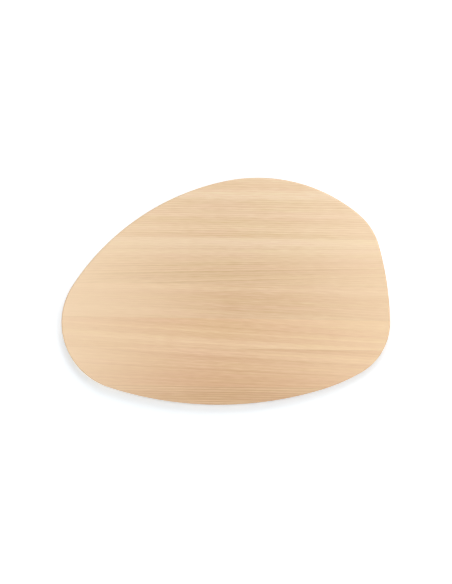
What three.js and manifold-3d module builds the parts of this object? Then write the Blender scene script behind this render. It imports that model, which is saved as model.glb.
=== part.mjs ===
// Egg-shaped cutting board of pale softwood: long staves glued edge to edge, then cut to one outline.
// Millimetres, +Z up. The origin is on the face that it lies on, in the middle of its length and width.
// +X runs along the grain from the narrow tip to the blunt heel, and +Y towards the crown, the fuller side.
import * as THREE from "three";
import { mergeVertices } from "three/addons/utils/BufferGeometryUtils.js";
import Module from "manifold-3d";

// Board
const boardLength = 394;
const boardWidth = 273;
const boardThickness = 15;
const edgeRound = 2; // rounding along the edges of both faces
const leastRim = 1; // flat rim that the rounding always leaves on a thin board

// Outline: eight arcs, each running smoothly into the next
const tipRadius = 81.4; // narrow end
const crownInset = 158.5; // highest point of the crown, from the blunt end
const crownLean = 12.3; // degrees that the crown turns from there towards the tip, where the flank takes over
const shoulderRadius = 76;
const shoulderInset = 87.6; // centre of the shoulder arc, from the blunt end
const shoulderDrop = 100.9; // and from the crown's highest point
const heelRadius = 372; // nearly straight blunt end
const cornerRadius = 69.8;
const quarterRadius = 234; // eases the corner into the belly
const bellyEndInset = 82.6; // where the belly gives way to it, from the blunt end
const bellyRadius = 427;
const bellyX = -12.7; // lowest point of the belly

// Staves, from the crown to the belly, with a film of set glue between neighbours
const crownStaveWidth = 24.8;
const upperStaveWidth = 47.7;
const upperMiddleStaveWidth = 55.5;
const middleStaveWidth = 40.6;
const lowerMiddleStaveWidth = 35.7;
const lowerStaveWidth = 45.6;
const bellyStaveWidth = 21.9;
const glueThickness = 0.2;

// Facets
const outlineStep = 2; // degrees that the outline turns at each facet
const roundSteps = 4; // facets across a rounded edge

const staves = [
  { name: "crown", width: crownStaveWidth, color: "#ecceac" },
  { name: "upper", width: upperStaveWidth, color: "#e7caa8" },
  { name: "upper_middle", width: upperMiddleStaveWidth, color: "#e6c8a5" },
  { name: "middle", width: middleStaveWidth, color: "#dfbf9c" },
  { name: "lower_middle", width: lowerMiddleStaveWidth, color: "#e4c29b" },
  { name: "lower", width: lowerStaveWidth, color: "#dfbd98" },
  { name: "belly", width: bellyStaveWidth, color: "#d8b490" },
];
const woodRoughness = 0.6;
const glueColor = "#c99f6c";
const glueRoughness = 0.45;

const wasm = await Module();
wasm.setup();

// The circle of this radius whose centre is at x, touching the outer circle from inside on its lower side.
function circleInside(outer, x, radius) {
  const rise = Math.sqrt((outer.radius - radius) ** 2 - (x - outer.centre.x) ** 2);
  return { centre: new THREE.Vector2(x, outer.centre.y - rise), radius };
}

// The circle that passes through a point, with its centre in the direction inward, and wraps another circle.
function circleFrom(point, inward, held) {
  const reach = point.clone().sub(held.centre);
  const radius = (held.radius ** 2 - reach.lengthSq()) / (2 * (reach.dot(inward) + held.radius));
  return { centre: point.clone().addScaledVector(inward, radius), radius };
}

// The circle of this radius that wraps two others, upper then lower, and bulges towards +X.
function circleAround(upper, lower, radius) {
  const along = lower.centre.clone().sub(upper.centre);
  const gap = along.length();
  along.normalize();
  const toUpper = radius - upper.radius;
  const toLower = radius - lower.radius;
  const foot = (toUpper ** 2 - toLower ** 2 + gap ** 2) / (2 * gap);
  const back = Math.sqrt(toUpper ** 2 - foot ** 2);
  const centre = upper.centre.clone().addScaledVector(along, foot);
  centre.add(new THREE.Vector2(along.y, -along.x).multiplyScalar(back));
  return { centre, radius };
}

// The point where two circles touch, one inside the other.
function touchPoint(a, b) {
  const [large, small] = a.radius > b.radius ? [a, b] : [b, a];
  const outward = small.centre.clone().sub(large.centre).normalize();
  return small.centre.clone().addScaledVector(outward, small.radius);
}

// The board's outline: circles in clockwise order from the tip, and the arc of each between its neighbours.
function outlinePoints() {
  const endX = boardLength / 2;
  const topY = boardWidth / 2;

  const belly = { centre: new THREE.Vector2(bellyX, bellyRadius - topY), radius: bellyRadius };
  const tip = circleInside(belly, tipRadius - endX, tipRadius);

  const bellyEndX = endX - bellyEndInset;
  const bellyTurn = Math.asin((bellyEndX - bellyX) / bellyRadius);
  const quarterX = bellyEndX - quarterRadius * Math.sin(bellyTurn);
  const quarter = circleInside(belly, quarterX, quarterRadius);
  const corner = circleInside(quarter, endX - cornerRadius, cornerRadius);

  const shoulderCentre = new THREE.Vector2(endX - shoulderInset, topY - shoulderDrop);
  const shoulder = { centre: shoulderCentre, radius: shoulderRadius };
  const heel = circleAround(shoulder, corner, heelRadius);

  const crownTop = new THREE.Vector2(endX - crownInset, topY);
  const crown = circleFrom(crownTop, new THREE.Vector2(0, -1), shoulder);
  const lean = THREE.MathUtils.degToRad(crownLean);
  const flankInward = new THREE.Vector2(Math.sin(lean), -Math.cos(lean));
  const flankEnd = crown.centre.clone().addScaledVector(flankInward, -crown.radius);
  const flank = circleFrom(flankEnd, flankInward, tip);

  const circles = [tip, flank, crown, shoulder, heel, corner, quarter, belly];
  return circles.flatMap((circle, i) => {
    const start = touchPoint(circles.at(i - 1), circle).sub(circle.centre).angle();
    const end = touchPoint(circle, circles[(i + 1) % circles.length]).sub(circle.centre).angle();
    const turn = THREE.MathUtils.euclideanModulo(start - end, 2 * Math.PI);
    const { x, y } = circle.centre;
    const arc = new THREE.EllipseCurve(x, y, circle.radius, circle.radius, start, start - turn, true);
    const steps = Math.ceil(THREE.MathUtils.radToDeg(turn) / outlineStep);
    return arc.getPoints(steps).slice(0, -1);
  });
}

// A closed geometry as a solid that can be cut.
function toSolid(geometry) {
  geometry.deleteAttribute("normal");
  geometry.deleteAttribute("uv");
  const merged = mergeVertices(geometry);
  const vertProperties = new Float32Array(merged.attributes.position.array);
  const triVerts = new Uint32Array(merged.index.array);
  return new wasm.Manifold(new wasm.Mesh({ numProp: 3, vertProperties, triVerts }));
}

function toGeometry(solid) {
  const { vertProperties, triVerts } = solid.getMesh();
  const geometry = new THREE.BufferGeometry();
  geometry.setAttribute("position", new THREE.BufferAttribute(vertProperties, 3));
  geometry.setIndex(new THREE.BufferAttribute(triVerts, 1));
  geometry.computeVertexNormals();
  return geometry;
}

// The whole board before it is parted into staves, with both faces' edges rounded.
function boardBlank() {
  const round = Math.min(edgeRound, (boardThickness - leastRim) / 2);
  const blank = new THREE.ExtrudeGeometry(new THREE.Shape(outlinePoints()), {
    depth: boardThickness - 2 * round,
    bevelThickness: round,
    bevelSize: round,
    bevelOffset: -round,
    bevelSegments: roundSteps,
  });
  return toSolid(blank.translate(0, 0, round));
}

// A slice of the blank between two planes across its width. Neighbours share a plane, so they meet exactly.
function slice(blank, lowY, highY) {
  const cutter = new THREE.BoxGeometry(2 * boardLength, 1, 2 * boardThickness);
  cutter.translate(0, 0.5, boardThickness / 2);
  const { position } = cutter.attributes;
  for (let i = 0; i < position.count; i += 1) {
    position.setY(i, THREE.MathUtils.lerp(lowY, highY, position.getY(i)));
  }
  return blank.intersect(toSolid(cutter));
}

function addPiece(group, name, solid, color, roughness) {
  const material = new THREE.MeshStandardMaterial({ color, roughness, metalness: 0 });
  const piece = new THREE.Mesh(toGeometry(solid), material);
  piece.name = name;
  group.add(piece);
}

// What the staves and the glue together lack of the board's width is shared evenly between the staves.
function evenedWidths() {
  const glueWidth = (staves.length - 1) * glueThickness;
  const gluedUpWidth = staves.reduce((sum, stave) => sum + stave.width, glueWidth);
  return staves.map((stave) => stave.width + (boardWidth - gluedUpWidth) / staves.length);
}

const board = new THREE.Group();
const blank = boardBlank();
const widths = evenedWidths();
let highY = boardWidth / 2;
staves.forEach(({ name, color }, i) => {
  const lowY = highY - widths[i];
  addPiece(board, `${name}_stave`, slice(blank, lowY, highY), color, woodRoughness);
  if (i === staves.length - 1) return;
  highY = lowY - glueThickness;
  addPiece(board, `${name}_glue_line`, slice(blank, highY, lowY), glueColor, glueRoughness);
});

export default board;
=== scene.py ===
import math

import bpy
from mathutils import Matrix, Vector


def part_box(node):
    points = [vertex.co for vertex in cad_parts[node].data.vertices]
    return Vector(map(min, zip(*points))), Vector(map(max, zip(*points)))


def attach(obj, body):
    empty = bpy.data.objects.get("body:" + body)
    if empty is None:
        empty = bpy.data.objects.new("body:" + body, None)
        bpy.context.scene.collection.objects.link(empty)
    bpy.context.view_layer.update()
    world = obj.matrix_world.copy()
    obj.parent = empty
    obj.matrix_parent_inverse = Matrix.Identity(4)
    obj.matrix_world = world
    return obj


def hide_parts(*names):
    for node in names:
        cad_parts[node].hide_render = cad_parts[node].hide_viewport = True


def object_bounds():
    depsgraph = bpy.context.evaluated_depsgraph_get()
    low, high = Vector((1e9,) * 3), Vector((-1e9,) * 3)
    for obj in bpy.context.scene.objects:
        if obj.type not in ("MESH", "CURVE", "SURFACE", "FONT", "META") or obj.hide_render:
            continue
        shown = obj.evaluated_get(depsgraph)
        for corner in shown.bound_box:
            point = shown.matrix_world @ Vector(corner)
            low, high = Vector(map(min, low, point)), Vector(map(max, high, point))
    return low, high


# an egg-shaped cutting board: seven staves of cypress, glued edge to edge and cut to one outline
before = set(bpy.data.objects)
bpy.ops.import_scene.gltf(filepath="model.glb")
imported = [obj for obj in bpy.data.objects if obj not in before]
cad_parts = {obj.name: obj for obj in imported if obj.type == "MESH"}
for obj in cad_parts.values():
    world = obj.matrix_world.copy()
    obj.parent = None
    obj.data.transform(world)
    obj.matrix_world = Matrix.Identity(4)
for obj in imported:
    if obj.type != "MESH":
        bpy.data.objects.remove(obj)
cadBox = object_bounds()
scene = bpy.context.scene
mm = 0.001
samePlace = 0.001 * mm  # closer than this, two points are one
print("frame loaded:", len(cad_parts), "pieces")


def linear(hexColour):
    channels = [int(hexColour[i:i + 2], 16) / 255 for i in (1, 3, 5)]
    return [c / 12.92 if c <= 0.04045 else ((c + 0.055) / 1.055) ** 2.4 for c in channels] + [1]


# inputs: socket name or number -> a value, another node (its first output) or one of its outputs
# by number, a Map Range has its From and To ends at 1 to 4,
# and a colour Mix takes its two colours at 6 and 7 and gives the result at 2
def addNode(tree, kind, inputs=None, **settings):
    node = tree.nodes.new(kind)
    for name, value in settings.items():
        setattr(node, name, value)
    for socket, value in (inputs or {}).items():
        if isinstance(value, bpy.types.Node):
            value = value.outputs[0]
        if isinstance(value, bpy.types.NodeSocket):
            tree.links.new(value, node.inputs[socket])
        else:
            node.inputs[socket].default_value = value
    return node


# the staves, from the crown down to the belly
#   tones: late wood, plain wood, palest wood
#   bands: mm below the upper seam at mid length, and how much paler (or darker, -) the wood is there
#   slopes: degrees that the grain rises towards the blunt end, at the upper and at the lower seam
#   ring: mm from one year to the next
#   pith: the middle of the tree, in mm below the upper seam and above the underside
#   lines: how dark the year lines are at the upper and at the lower seam
#   years: share of that for the line of a poor year, and of the best one
#   painted sheen at the tip: how much of its paler colour shows there, and how late it sets in (1 is
#       from mid length)
staves = {
    "crown": {
        "piece": "crownStaveWood",
        "tones": ("#d2b07a", "#efd0ac", "#fef0d2"),
        "bands": [(0, 3), (6, -1), (9, -5), (14, -3), (17, 5), (22, 5), (25, 3)],
        "slopes": (0, 0),
        "ring": 2.9,
        "pith": (-150, 40),
        "lines": (12, 11),
        "years": (0.6, 1.0),
        "tipSheenMix": (0.8, 1.6),
    },
    "upper": {
        "piece": "upperStaveWood",
        "tones": ("#d0aa71", "#e9caa4", "#ffe9cc"),
        "bands": [
            (0, 4), (6, -1), (11, 3), (18, 1), (20, 8), (22, 2), (24, -3),
            (29, -4), (34, 0), (37, 6), (40, 0), (44, -5), (48, -4),
        ],
        "slopes": (0, 0),
        "ring": 2.7,
        "pith": (-190, 25),
        "lines": (22, 19),
        "years": (0.6, 1.0),
        "tipSheenMix": (0.8, 1.6),
    },
    "upper_middle": {
        "piece": "upperMiddleStaveWood",
        "tones": ("#cba677", "#e6c6a0", "#fbe5c5"),
        "bands": [
            (0, 12), (3, 14), (7, 14), (10, 9), (13, 5), (16, 8), (19, 5), (23, -1),
            (30, -3), (37, -3), (42, -8), (46, -9), (49, -5), (53, -8), (60, -6),
        ],
        "slopes": (0, 2.4),
        "ring": 2.7,
        "pith": (240, 30),
        "lines": (9, 21),
        "years": (0.4, 1.4),
        "tipSheenMix": (0.8, 1.6),
    },
    "middle": {
        "piece": "middleStaveWood",
        "tones": ("#c89e6d", "#e1be97", "#f7debc"),
        "bands": [
            (-2, 2), (2, 5), (4, 8), (6, 6), (9, 0), (13, -5), (16, -5),
            (19, -2), (26, 0), (28, -2), (31, 0), (35, 3), (42, -1),
        ],
        "slopes": (-0.3, -2.8),
        "ring": 2.75,
        "pith": (230, -30),
        "lines": (9, 8),
        "years": (0.4, 1.4),
        "tipSheenMix": (0.75, 0.9),
    },
    "lower_middle": {
        "piece": "lowerMiddleStaveWood",
        "tones": ("#cea174", "#e7c199", "#fce2ba"),
        "bands": [
            (-8, 0), (-3, 3), (2, -1), (5, -5), (7, -3), (9, -5), (13, -2), (15, 0), (17, 5),
            (19, 0), (22, -4), (24, 0), (26, 6), (30, 11), (32, 8), (35, 4), (39, 0),
        ],
        "slopes": (-3.5, -2.6),
        "ring": 4.0,
        "pith": (150, -40),
        "lines": (8, 8),
        "years": (0.4, 1.4),
        "tipSheenMix": (0.62, 1.6),
    },
    "lower": {
        "piece": "lowerStaveWood",
        "tones": ("#cd9c74", "#e2bb93", "#fbdcb6"),
        "bands": [
            (-9, -5), (-6.3, -11), (-4, -4), (0, 5), (4, 10), (7, 10), (9, 2), (11, -5), (13, -2),
            (16, 3), (23, 2), (28, -2), (33, -4), (36, -8), (39, -4), (44, -7), (50, -7),
        ],
        "slopes": (-3.2, -1.6),
        "ring": 3.9,
        "pith": (-170, 30),
        "lines": (13, 16),
        "years": (0.4, 1.4),
        "tipSheenMix": (0.8, 1.6),
    },
    "belly": {
        "piece": "bellyStaveWood",
        "tones": ("#c69069", "#d6af87", "#f2d2aa"),
        "bands": [(0, 3), (5, 3), (7, -2), (10, -4), (14, -2), (17, 2), (22, 6)],
        "slopes": (0, 0),
        "ring": 2.9,
        "pith": (-130, 30),
        "lines": (41, 41),
        "years": (0.6, 1.0),
        "tipSheenMix": (0.8, 1.6),
    },
}
staveNames = list(staves)
glueNames = staveNames[:-1]  # each glue line is named for the stave above it
grainLook = {
    "toneSpan": 32,  # of 255, from plain wood to late wood and to the palest; all tones count in these
    # soft noise: mm along and across the grain, and detail
    "wander": (240, 34, 2),
    "cloud": (90, 16, 2),  # slow changes of tone
    "fibre": (15, 1.1, 1),  # real fibres are finer, and these are as coarse as shows
    "blush": (90, 7, 3),  # streaks that are yellower or pinker but no darker
    "noiseSpread": (0.3, 0.7),  # nearly all of a noise lies between these
    "noiseStep": 37,  # mm in the noise from one stave to the next, so that no two are alike
    "cloudTone": 5,
    "fibreTone": 13,
    "blushTints": ("#fefffb", "#fffcff"),
    # year lines
    "stray": 0.5,  # mm that they wander
    "unevenYears": 0.35,  # rings that runs of good or poor years shift them by
    "runsPerYear": 0.35,
    "lateWood": (0.1, 0.88),  # parts of the year where it starts to build up and where it is darkest
    "rareYears": 2,  # the higher, the fewer lines are strong
    "patchyLines": (0.5, 1.3),  # strength in the faintest and the clearest patches
    "usualLine": 0.33,  # mean strength, taken out of the lines so that the stave keeps its mean tone
    "endLines": 2.2,  # how much stronger they are where the grain is cut across
    # ends and rim; the paler ends are painted sheen
    "bluntSheenPower": 1.7,  # how late the painted sheen that makes the wood paler sets in towards the blunt end
    "bluntSheenTone": 14.5,  # how much paler the painted sheen makes it there
    "bluntSheen": ("#ffdcb1", 0.42),  # painted sheen at the blunt end: its paler colour, and how much of it shows
    # painted sheen at the tip: its paler colour
    "tipSheen": "#ffe2bd",
    "cutEnd": "#e6d3ba",  # a tint, for grain cut across, which soaks up light
    "cutEndFacing": (0.5, 0.98),  # how squarely it faces along the grain where that sets in and is full
    "sandedRim": 0.75,  # roughness of the rim, which is sanded and not planed
    "rimFacing": (0.995, 0.93),  # how squarely it still faces up or down where that sets in and is full
    "ior": 1.5,
    "roughness": (0.36, 0.44),  # silky patches and duller ones
    "relief": 0.004,  # mm that late wood stands over early wood
    "reliefFibres": 0.5,  # share of that in the fibres
    "reliefStrength": 0.5,
}


# cypress, planed: pale straw to pinkish wood with fine year lines, a silky sheen, duller cut ends, and
# both ends painted paler as sheen
def planedCypress(name, stave, lowSeam, highSeam):
    material = bpy.data.materials.new("Planed cypress, " + name.replace("_", " ") + " stave")
    material.use_nodes = True
    tree = material.node_tree
    shader = tree.nodes["Principled BSDF"]
    shader.inputs["IOR"].default_value = grainLook["ior"]
    width = (highSeam - lowSeam) / mm
    fullSpan = 2 * grainLook["toneSpan"]  # from late wood to the palest
    elsewhere = [staveNames.index(name) * grainLook["noiseStep"]] * 3
    noiseLow, noiseHigh = grainLook["noiseSpread"]

    spot = addNode(tree, "ShaderNodeTexCoord").outputs
    inMm = addNode(tree, "ShaderNodeVectorMath", {
        0: spot["Object"],
        "Scale": 1 / mm,
    }, operation="SCALE")
    parts = addNode(tree, "ShaderNodeSeparateXYZ", {0: inMm}).outputs

    # mm below the upper seam, following the slope of the grain
    under = addNode(tree, "ShaderNodeMath", {0: highSeam / mm, 1: parts["Y"]}, operation="SUBTRACT")
    upperRise, lowerRise = (math.tan(math.radians(slope)) for slope in stave["slopes"])
    rise = addNode(tree, "ShaderNodeMapRange", {0: under, 2: width, 3: upperRise, 4: lowerRise})
    sloped = addNode(tree, "ShaderNodeMath", {
        0: parts["X"],
        1: rise,
        2: under,
    }, operation="MULTIPLY_ADD")

    # soft noise stretched along the grain
    def grainNoise(place, noise):
        long, wide, detail = grainLook[noise]
        moved = addNode(tree, "ShaderNodeVectorMath", {0: place, 1: elsewhere}, operation="ADD")
        stretch = (1 / long, 1 / wide, 1 / wide)
        shrunk = addNode(tree, "ShaderNodeVectorMath", {0: moved, 1: stretch}, operation="MULTIPLY")
        return addNode(tree, "ShaderNodeTexNoise", {"Vector": shrunk, "Scale": 1, "Detail": detail})

    wander = grainNoise(inMm, "wander")
    mostStray = 2 * grainLook["stray"]  # where the noise is 0 or 1, which it hardly ever is
    stray = addNode(tree, "ShaderNodeMapRange", {0: wander, 3: -mostStray, 4: mostStray})
    below = addNode(tree, "ShaderNodeMath", {0: sloped, 1: stray}, operation="ADD")
    inGrain = addNode(tree, "ShaderNodeCombineXYZ", {"X": parts["X"], "Y": below, "Z": parts["Z"]})

    # cut ends, where the surface turns to face along the grain
    facing = addNode(tree, "ShaderNodeSeparateXYZ", {0: spot["Normal"]}).outputs
    endOn = addNode(tree, "ShaderNodeMath", {0: facing["X"]}, operation="ABSOLUTE")
    cutFrom, cutFull = grainLook["cutEndFacing"]
    cutEnd = addNode(tree, "ShaderNodeMapRange", {
        0: endOn,
        1: cutFrom,
        2: cutFull,
    }, interpolation_type="SMOOTHSTEP")

    # year lines round the pith: each ring's late wood builds up slowly and then ends soon
    acrossGrain = addNode(tree, "ShaderNodeCombineXYZ", {"X": below, "Y": parts["Z"]})
    pith = (*stave["pith"], 0)
    fromPith = addNode(tree, "ShaderNodeVectorMath", {0: acrossGrain, 1: pith}, operation="DISTANCE")
    fromPith = fromPith.outputs["Value"]
    years = addNode(tree, "ShaderNodeMath", {0: fromPith, 1: stave["ring"]}, operation="DIVIDE")
    runs = addNode(tree, "ShaderNodeTexNoise", {
        "W": years,
        "Scale": grainLook["runsPerYear"],
        "Detail": 1,
    }, noise_dimensions="1D")
    uneven = 2 * grainLook["unevenYears"]
    count = addNode(tree, "ShaderNodeMath", {0: runs, 1: uneven, 2: years}, operation="MULTIPLY_ADD")
    season = addNode(tree, "ShaderNodeMath", {0: count}, operation="FRACT")
    lateStart, latePeak = grainLook["lateWood"]
    building = addNode(tree, "ShaderNodeMapRange", {0: season, 1: lateStart, 2: latePeak})
    ending = addNode(tree, "ShaderNodeMapRange", {0: season, 1: 1, 2: latePeak})
    lateWood = addNode(tree, "ShaderNodeMath", {0: building, 1: ending}, operation="MINIMUM")
    year = addNode(tree, "ShaderNodeMath", {0: count}, operation="FLOOR")
    harvest = addNode(tree, "ShaderNodeTexWhiteNoise", {"W": year}, noise_dimensions="1D")
    goodYear = addNode(tree, "ShaderNodeMath", {
        0: harvest,
        1: grainLook["rareYears"],
    }, operation="POWER")
    poorLine, bestLine = stave["years"]
    firmness = addNode(tree, "ShaderNodeMapRange", {0: goodYear, 3: poorLine, 4: bestLine})
    lines = addNode(tree, "ShaderNodeMath", {0: lateWood, 1: firmness}, operation="MULTIPLY")

    # slow bands across the stave
    margin = 10  # mm beyond the seams, for sloping bands that run out of the stave
    bandPlace = addNode(tree, "ShaderNodeMapRange", {0: below, 1: -margin, 2: width + margin})
    bands = addNode(tree, "ShaderNodeValToRGB", {"Fac": bandPlace})
    bands.color_ramp.interpolation = "EASE"
    stops = bands.color_ramp.elements
    for i, (depth, paler) in enumerate(stave["bands"]):
        stop = stops[i] if i < 2 else stops.new(1)  # a ramp comes with two
        stop.position = (depth + margin) / (width + 2 * margin)
        stop.color = [0.5 + paler / fullSpan] * 3 + [1]

    # how far along towards the ends, where painted sheen makes the wood paler
    reach = addNode(tree, "ShaderNodeMath", {0: parts["X"], 1: cadBox[1].x / mm}, operation="DIVIDE")
    outwards = addNode(tree, "ShaderNodeMath", {0: reach}, operation="ABSOLUTE")
    ends = addNode(tree, "ShaderNodeMath", {0: outwards, 1: grainLook["bluntSheenPower"]}, operation="POWER")
    tipSheenShare, tipSheenPower = stave["tipSheenMix"]
    tipSheenReach = addNode(tree, "ShaderNodeMath", {0: outwards, 1: tipSheenPower}, operation="POWER")
    atBlunt = addNode(tree, "ShaderNodeMath", {0: reach, 1: 0}, operation="GREATER_THAN")
    atTip = addNode(tree, "ShaderNodeMath", {0: reach, 1: 0}, operation="LESS_THAN")
    bluntEnd = addNode(tree, "ShaderNodeMath", {0: ends, 1: atBlunt}, operation="MULTIPLY")
    tipReach = addNode(tree, "ShaderNodeMath", {0: tipSheenReach, 1: atTip}, operation="MULTIPLY")
    tipEnd = addNode(tree, "ShaderNodeMath", {0: tipReach, 1: tipSheenShare}, operation="MULTIPLY")

    # bands, lines, painted sheen at the blunt end, clouds and fibres add up to one tone
    cloud = grainNoise(inGrain, "cloud")
    fibre = grainNoise(inGrain, "fibre")
    faintest, clearest = grainLook["patchyLines"]
    patchy = addNode(tree, "ShaderNodeMapRange", {
        0: cloud,
        1: noiseLow,
        2: noiseHigh,
        3: faintest,
        4: clearest,
    })
    patchyLines = addNode(tree, "ShaderNodeMath", {0: lines, 1: patchy}, operation="MULTIPLY")
    darker = addNode(tree, "ShaderNodeMath", {
        0: grainLook["usualLine"],
        1: patchyLines,
    }, operation="SUBTRACT")
    upperLines, lowerLines = (dark / fullSpan for dark in stave["lines"])
    faceLines = addNode(tree, "ShaderNodeMapRange", {0: under, 2: width, 3: upperLines, 4: lowerLines})
    endLines = addNode(tree, "ShaderNodeMapRange", {0: cutEnd, 3: 1, 4: grainLook["endLines"]})
    lineShare = addNode(tree, "ShaderNodeMath", {0: faceLines, 1: endLines}, operation="MULTIPLY")
    tone = addNode(tree, "ShaderNodeMath", {
        0: darker,
        1: lineShare,
        2: bands,
    }, operation="MULTIPLY_ADD")
    tone = addNode(tree, "ShaderNodeMath", {
        0: bluntEnd,
        1: grainLook["bluntSheenTone"] / fullSpan,
        2: tone,
    }, operation="MULTIPLY_ADD")
    for layer, layerTone in ((cloud, grainLook["cloudTone"]), (fibre, grainLook["fibreTone"])):
        most = layerTone / fullSpan
        shift = addNode(tree, "ShaderNodeMapRange", {0: layer, 3: -most, 4: most})
        tone = addNode(tree, "ShaderNodeMath", {0: tone, 1: shift}, operation="ADD")
    colour = addNode(tree, "ShaderNodeValToRGB", {"Fac": tone})
    stops = colour.color_ramp.elements
    for i, hexColour in enumerate(stave["tones"]):
        stop = stops[i] if i < 2 else stops.new(1)
        stop.position = i / 2
        stop.color = linear(hexColour)

    # the blush, painted sheen in paler colours at both ends, and the cut ends' tint
    blush = grainNoise(inGrain, "blush")
    blushShare = addNode(tree, "ShaderNodeMapRange", {0: blush, 1: noiseLow, 2: noiseHigh})
    yellowTint, pinkTint = (linear(hexColour) for hexColour in grainLook["blushTints"])
    tint = addNode(tree, "ShaderNodeMix", {
        0: blushShare,
        6: yellowTint,
        7: pinkTint,
    }, data_type="RGBA")
    blushed = addNode(tree, "ShaderNodeMix", {
        0: 1,
        6: colour,
        7: tint.outputs[2],
    }, data_type="RGBA", blend_type="MULTIPLY")
    bluntSheenColour, bluntSheenShare = grainLook["bluntSheen"]
    atBluntShare = addNode(tree, "ShaderNodeMath", {0: bluntEnd, 1: bluntSheenShare}, operation="MULTIPLY")
    withBluntSheen = addNode(tree, "ShaderNodeMix", {
        0: atBluntShare,
        6: blushed.outputs[2],
        7: linear(bluntSheenColour),
    }, data_type="RGBA")
    tipSheenMix = addNode(tree, "ShaderNodeMix", {
        0: tipEnd,
        6: withBluntSheen.outputs[2],
        7: linear(grainLook["tipSheen"]),
    }, data_type="RGBA")
    soaked = addNode(tree, "ShaderNodeMix", {
        0: cutEnd,
        6: tipSheenMix.outputs[2],
        7: linear(grainLook["cutEnd"]),
    }, data_type="RGBA", blend_type="MULTIPLY")
    tree.links.new(soaked.outputs[2], shader.inputs["Base Color"])

    # silky faces and a duller rim, where the surface turns from facing up or down
    silky, dull = grainLook["roughness"]
    sheen = addNode(tree, "ShaderNodeMapRange", {
        0: cloud,
        1: noiseLow,
        2: noiseHigh,
        3: silky,
        4: dull,
    })
    upright = addNode(tree, "ShaderNodeMath", {0: facing["Z"]}, operation="ABSOLUTE")
    rimFrom, rimFull = grainLook["rimFacing"]
    sanded = addNode(tree, "ShaderNodeMapRange", {
        0: upright,
        1: rimFrom,
        2: rimFull,
        4: grainLook["sandedRim"],
    })
    roughness = addNode(tree, "ShaderNodeMath", {0: sheen, 1: sanded}, operation="MAXIMUM")
    tree.links.new(roughness.outputs[0], shader.inputs["Roughness"])
    height = addNode(tree, "ShaderNodeMath", {
        0: fibre,
        1: grainLook["reliefFibres"],
        2: lines,
    }, operation="MULTIPLY_ADD")
    relief = addNode(tree, "ShaderNodeBump", {
        "Height": height,
        "Distance": grainLook["relief"] * mm,
        "Strength": grainLook["reliefStrength"],
    })
    tree.links.new(relief.outputs[0], shader.inputs["Normal"])
    return material


# the blank: what every stave and glue line is sliced from
blankLook = {
    "outlinePoints": 900,
    "roundSteps": 10,  # facets across each rounded edge
    "creaseAngle": 35,  # degrees, past which an edge stays sharp
    "sliceReach": 1,  # m, length and height of the block that cuts a slice, well past the board
}


# the board's widest level, read from the frame, in order round the board
def rimPoints():
    corners = [v.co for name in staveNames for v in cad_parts[name + "_stave"].data.vertices]
    bluntEnd = max(c.x for c in corners)
    edgeRound = min(c.z for c in corners if bluntEnd - c.x < samePlace)
    boxes = [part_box(name + "_stave") for name in staveNames]
    seams = [low.y for low, high in boxes[:-1]] + [high.y for low, high in boxes[1:]]
    rim = {}
    for c in corners:
        onSeam = min(abs(c.y - seam) for seam in seams) < samePlace
        if abs(c.z - edgeRound) < samePlace and not onSeam:
            turn = round(math.atan2(c.y, c.x), 6)
            rim[turn] = (c.x, c.y, 0)  # once for all triangles that meet there
    return [rim[turn] for turn in sorted(rim)], edgeRound


rim, edgeRound = rimPoints()
thickness = cadBox[1].z - cadBox[0].z
print("rim read from the frame:", len(rim), "corners, edge round", round(edgeRound / mm, 2), "mm")


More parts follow.
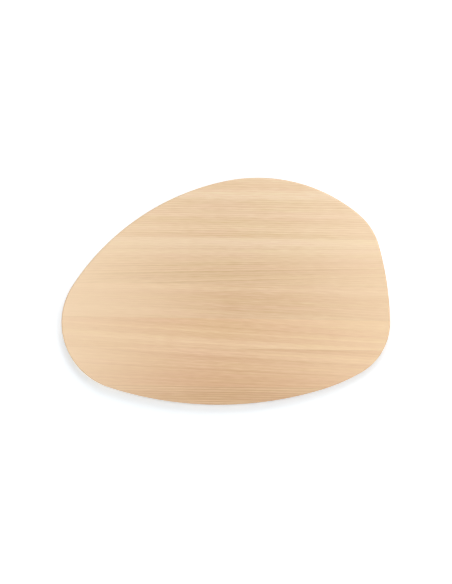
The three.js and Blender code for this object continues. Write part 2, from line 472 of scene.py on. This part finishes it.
def sliceTree():
    tree = bpy.data.node_groups.new("Slice of the board blank", "GeometryNodeTree")
    sockets = {}
    for name, kind in (
        ("Rim", "NodeSocketGeometry"),
        ("Outline points", "NodeSocketInt"),
        ("Round steps", "NodeSocketInt"),
        ("Thickness", "NodeSocketFloat"),
        ("Edge round", "NodeSocketFloat"),
        ("Low seam", "NodeSocketFloat"),
        ("High seam", "NodeSocketFloat"),
        ("Crease angle", "NodeSocketFloat"),
        ("Finish", "NodeSocketMaterial"),
    ):
        sockets[name] = tree.interface.new_socket(name, in_out="INPUT", socket_type=kind).identifier
    tree.interface.new_socket("Slice", in_out="OUTPUT", socket_type="NodeSocketGeometry")
    given = addNode(tree, "NodeGroupInput").outputs

    # the outline, as a smooth curve through the rim's corners
    rough = addNode(tree, "GeometryNodeMeshToCurve", {"Mesh": given["Rim"]})
    flowing = addNode(tree, "GeometryNodeCurveSplineType", {"Curve": rough}, spline_type="CATMULL_ROM")
    even = addNode(tree, "GeometryNodeResampleCurve", {
        "Curve": flowing,
        "Count": given["Outline points"],
    })
    outline = addNode(tree, "GeometryNodeSetCurveNormal", {"Curve": even}, mode="Z_UP")

    # the rim's section: a half circle pulled apart by the flat between the two rounded edges
    halfThick = addNode(tree, "ShaderNodeMath", {0: given["Thickness"], 1: 0.5}, operation="MULTIPLY")
    flat = addNode(tree, "ShaderNodeMath", {0: halfThick, 1: given["Edge round"]}, operation="SUBTRACT")
    sectionSteps = addNode(tree, "ShaderNodeMath", {
        0: given["Round steps"],
        1: 2,
    }, operation="MULTIPLY")
    halfCircle = addNode(tree, "GeometryNodeCurveArc", {
        "Resolution": sectionSteps,
        "Radius": given["Edge round"],
        "Start Angle": -math.pi / 2,
        "Sweep Angle": math.pi,
    })
    place = addNode(tree, "GeometryNodeInputPosition")
    placeParts = addNode(tree, "ShaderNodeSeparateXYZ", {0: place})
    side = addNode(tree, "ShaderNodeMath", {0: placeParts.outputs["Y"]}, operation="SIGN")
    apart = addNode(tree, "ShaderNodeMath", {0: side, 1: flat}, operation="MULTIPLY")
    inward = addNode(tree, "ShaderNodeMath", {0: given["Edge round"], 1: -1}, operation="MULTIPLY")
    shift = addNode(tree, "ShaderNodeCombineXYZ", {"X": inward, "Y": apart})
    section = addNode(tree, "GeometryNodeSetPosition", {"Geometry": halfCircle, "Offset": shift})
    band = addNode(tree, "GeometryNodeCurveToMesh", {"Curve": outline, "Profile Curve": section})

    # the two faces, inside the rounding
    across = addNode(tree, "GeometryNodeInputNormal")
    toFace = addNode(tree, "ShaderNodeVectorMath", {0: across, "Scale": inward}, operation="SCALE")
    faceEdge = addNode(tree, "GeometryNodeSetPosition", {"Geometry": outline, "Offset": toFace})
    face = addNode(tree, "GeometryNodeFillCurve", {"Curve": faceEdge}, mode="NGONS")
    up = addNode(tree, "ShaderNodeCombineXYZ", {"Z": halfThick})
    down = addNode(tree, "ShaderNodeVectorMath", {0: up, "Scale": -1}, operation="SCALE")
    top = addNode(tree, "GeometryNodeTransform", {"Geometry": face, "Translation": up})
    flipped = addNode(tree, "GeometryNodeFlipFaces", {"Mesh": face})
    bottom = addNode(tree, "GeometryNodeTransform", {"Geometry": flipped, "Translation": down})
    skin = addNode(tree, "GeometryNodeJoinGeometry", {"Geometry": band})
    tree.links.new(top.outputs[0], skin.inputs[0])
    tree.links.new(bottom.outputs[0], skin.inputs[0])
    blank = addNode(tree, "GeometryNodeMergeByDistance", {"Geometry": skin, "Distance": samePlace})

    # the slice between two seams
    high, low = given["High seam"], given["Low seam"]
    stripWidth = addNode(tree, "ShaderNodeMath", {0: high, 1: low}, operation="SUBTRACT")
    stripReach = blankLook["sliceReach"]
    stripSize = addNode(tree, "ShaderNodeCombineXYZ", {
        "X": stripReach,
        "Y": stripWidth,
        "Z": stripReach,
    })
    strip = addNode(tree, "GeometryNodeMeshCube", {"Size": stripSize})
    seamSum = addNode(tree, "ShaderNodeMath", {0: high, 1: low}, operation="ADD")
    stripMiddle = addNode(tree, "ShaderNodeMath", {0: seamSum, 1: 0.5}, operation="MULTIPLY")
    stripPlace = addNode(tree, "ShaderNodeCombineXYZ", {"Y": stripMiddle})
    placedStrip = addNode(tree, "GeometryNodeTransform", {"Geometry": strip, "Translation": stripPlace})
    cut = addNode(tree, "GeometryNodeMeshBoolean", {
        "Mesh 2": blank,
    }, operation="INTERSECT", solver="MANIFOLD")
    tree.links.new(placedStrip.outputs[0], cut.inputs["Mesh 2"])
    lifted = addNode(tree, "GeometryNodeTransform", {"Geometry": cut, "Translation": up})

    # round edges shade smoothly and the cut ones stay sharp
    rounded = addNode(tree, "GeometryNodeSetShadeSmooth", {"Geometry": lifted})
    bend = addNode(tree, "GeometryNodeInputMeshEdgeAngle")
    gentle = addNode(tree, "ShaderNodeMath", {0: bend, 1: given["Crease angle"]}, operation="LESS_THAN")
    creased = addNode(tree, "GeometryNodeSetShadeSmooth", {
        "Geometry": rounded,
        "Shade Smooth": gentle,
    }, domain="EDGE")
    real = addNode(tree, "GeometryNodeRealizeInstances", {"Geometry": creased})
    finished = addNode(tree, "GeometryNodeSetMaterial", {"Geometry": real, "Material": given["Finish"]})
    addNode(tree, "NodeGroupOutput", {0: finished})
    return tree, sockets


slicer, slicerSockets = sliceTree()


def cutSlice(name, node, finish):
    low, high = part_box(node)
    outline = bpy.data.meshes.new(name + "Rim")
    outline.from_pydata(rim, [(i, (i + 1) % len(rim)) for i in range(len(rim))], [])
    piece = bpy.data.objects.new(name, outline)
    scene.collection.objects.link(piece)
    cutting = piece.modifiers.new("Slice", "NODES")
    cutting.node_group = slicer
    for socket, value in (
        ("Outline points", blankLook["outlinePoints"]),
        ("Round steps", blankLook["roundSteps"]),
        ("Thickness", thickness),
        ("Edge round", edgeRound),
        ("Low seam", low.y),
        ("High seam", high.y),
        ("Crease angle", math.radians(blankLook["creaseAngle"])),
        ("Finish", finish),
    ):
        cutting[slicerSockets[socket]] = value
    shading = piece.modifiers.new("Even shading", "WEIGHTED_NORMAL")  # keeps flat faces flat to the eye
    shading.keep_sharp = True
    depsgraph = bpy.context.evaluated_depsgraph_get()
    mesh = bpy.data.meshes.new_from_object(piece.evaluated_get(depsgraph), depsgraph=depsgraph)
    mesh.name = name
    piece.modifiers.clear()
    piece.data = mesh
    bpy.data.meshes.remove(outline)
    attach(piece, "root")
    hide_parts(node)
    return piece


for name, stave in staves.items():
    low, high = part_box(name + "_stave")
    wood = planedCypress(name, stave, low.y, high.y)
    piece = cutSlice(stave["piece"], name + "_stave", wood)
    print("stave cut:", piece.name, len(piece.data.polygons), "faces")


# wood glue, set and planed flush: an amber hairline, clearer in places, a touch glossier than the wood
glueLook = {
    "tones": ("#dfbe93", "#eacda6"),
    "tonesAt": (0.35, 0.65),  # of the noise
    "patch": 25,  # mm along the seam
    "roughness": 0.35,
}


def setGlue():
    material = bpy.data.materials.new("Set wood glue")
    material.use_nodes = True
    tree = material.node_tree
    shader = tree.nodes["Principled BSDF"]
    spot = addNode(tree, "ShaderNodeTexCoord").outputs["Object"]
    patch = glueLook["patch"] * mm
    patches = addNode(tree, "ShaderNodeTexNoise", {"Vector": spot, "Scale": 1 / patch})
    colour = addNode(tree, "ShaderNodeValToRGB", {"Fac": patches})
    stops = colour.color_ramp.elements
    for stop, hexColour, position in zip(stops, glueLook["tones"], glueLook["tonesAt"]):
        stop.position = position
        stop.color = linear(hexColour)
    tree.links.new(colour.outputs[0], shader.inputs["Base Color"])
    shader.inputs["Roughness"].default_value = glueLook["roughness"]
    return material


glue = setGlue()
for name in glueNames:
    piece = cutSlice(staves[name]["piece"].replace("StaveWood", "GlueFilm"), name + "_glue_line", glue)
print("glue films cut:", len(glueNames))


# a white sweep: it lights the rim from below, and looks pure white outside the board's shadow
sweepLook = {
    "size": 8.0,  # m
    "colour": "#f4f4f4",
    "drop": 0.2,  # mm below the board
    "topUp": 0.356,  # glow that the camera sees, beside the board
    "farTopUp": 1.4,  # and far off, where the lamps don't reach
    "topUpReach": (0.25, 1.4),  # m from the middle of the board, where it starts to rise and is full
    "topUpColour": "#dcf1ff",  # a touch cool, so that the warm light off the rim leaves the shadow grey
}


# 1 for what is seen, straight on or in a gloss, and 0 for light that only falls on something
def seenDirectly(tree):
    path = addNode(tree, "ShaderNodeLightPath").outputs
    mirrored = addNode(tree, "ShaderNodeMath", {
        0: path["Is Camera Ray"],
        1: path["Is Glossy Ray"],
    }, operation="MAXIMUM")
    return addNode(tree, "ShaderNodeMath", {
        0: mirrored,
        1: path["Is Transmission Ray"],
    }, operation="MAXIMUM")


def sweepPaper():
    material = bpy.data.materials.new("White paper sweep")
    material.use_nodes = True
    tree = material.node_tree
    tree.nodes.clear()
    paper = addNode(tree, "ShaderNodeBsdfDiffuse", {"Color": linear(sweepLook["colour"])})
    seen = seenDirectly(tree)
    spot = addNode(tree, "ShaderNodeTexCoord").outputs["Object"]
    away = addNode(tree, "ShaderNodeVectorMath", {0: spot}, operation="LENGTH")
    near, far = sweepLook["topUpReach"]
    topUp = addNode(tree, "ShaderNodeMapRange", {
        0: away.outputs["Value"],
        1: near,
        2: far,
        3: sweepLook["topUp"],
        4: sweepLook["farTopUp"],
    })
    strength = addNode(tree, "ShaderNodeMath", {0: seen, 1: topUp}, operation="MULTIPLY")
    glow = addNode(tree, "ShaderNodeEmission", {
        "Color": linear(sweepLook["topUpColour"]),
        "Strength": strength,
    })
    both = addNode(tree, "ShaderNodeAddShader", {0: paper, 1: glow})
    addNode(tree, "ShaderNodeOutputMaterial", {"Surface": both})
    return material


half = sweepLook["size"] / 2
level = -sweepLook["drop"] * mm
sweepMesh = bpy.data.meshes.new("sweep")
sweepCorners = [(-half, -half, level), (half, -half, level), (half, half, level), (-half, half, level)]
sweepMesh.from_pydata(sweepCorners, [], [(0, 1, 2, 3)])
sweepMesh.materials.append(sweepPaper())
sweep = bpy.data.objects.new("sweep", sweepMesh)
scene.collection.objects.link(sweep)


# one big soft light beyond the crown for the shadow, two over the ends, and three low ones for the rim
lamps = {
    "topBox": {"place": (0.32, 1.45, 1.65), "size": (1.5, 1.2), "watts": 27.6, "glints": True},
    "rightBox": {"place": (0.44, 0.03, 0.90), "size": (0.25, 0.5), "watts": 1.42, "glints": True},
    "leftBox": {"place": (-0.44, 0.03, 0.90), "size": (0.25, 0.5), "watts": 1.56, "glints": True},
    "bellyFill": {"place": (0, -1.6, 0.35), "size": (1.6, 0.4), "watts": 8.7, "glints": False},
    "tipFill": {"place": (-1.25, -1.0, 0.35), "size": (1.2, 0.4), "watts": 6.0, "glints": False},
    "bluntFill": {"place": (1.6, 0, 0.35), "size": (1.2, 0.4), "watts": 8.5, "glints": False},
}
skyLook = {"strength": 0.115}  # as light; what is seen of the sky is white
for name, lamp in lamps.items():
    light = bpy.data.lights.new(name, "AREA")
    light.shape = "RECTANGLE"
    light.size, light.size_y = lamp["size"]
    light.energy = lamp["watts"]
    box = bpy.data.objects.new(name, light)
    box.location = lamp["place"]
    box.visible_glossy = lamp["glints"]  # the low ones would glare off the face
    box.rotation_euler = (-box.location).to_track_quat("-Z", "Y").to_euler()
    scene.collection.objects.link(box)

sky = bpy.data.worlds.new("White room")
scene.world = sky
sky.use_nodes = True
room = sky.node_tree
room.nodes.clear()
seen = seenDirectly(room)
strength = addNode(room, "ShaderNodeMath", {
    0: seen,
    1: 1 - skyLook["strength"],
    2: skyLook["strength"],
}, operation="MULTIPLY_ADD")
background = addNode(room, "ShaderNodeBackground", {"Color": (1, 1, 1, 1), "Strength": strength})
addNode(room, "ShaderNodeOutputWorld", {"Surface": background})
print("lamps:", len(lamps))


photo = {
    "width": 452,
    "height": 584,
    "boardCentre": (226.25, 291.05),  # pixel of the photograph over the board's origin
    "pixel": 1.1991,  # mm on the board
    "turn": 0.8,  # degrees that the board lies clockwise of level
    "lens": 90,  # mm
}
camera = bpy.data.objects.new("overhead", bpy.data.cameras.new("overhead"))
scene.collection.objects.link(camera)
scene.camera = camera
camera.data.lens = photo["lens"]
turn = math.radians(photo["turn"])
right = (photo["width"] / 2 - photo["boardCentre"][0]) * photo["pixel"] * mm
up = (photo["boardCentre"][1] - photo["height"] / 2) * photo["pixel"] * mm
viewHeight = photo["height"] * photo["pixel"] * mm
distance = viewHeight * photo["lens"] / camera.data.sensor_width
camera.location = (
    right * math.cos(turn) - up * math.sin(turn),
    right * math.sin(turn) + up * math.cos(turn),
    thickness - edgeRound + distance,
)
camera.rotation_euler = (0, 0, turn)
print("camera", round(distance, 3), "m above the board")

scene.view_settings.view_transform = "Standard"
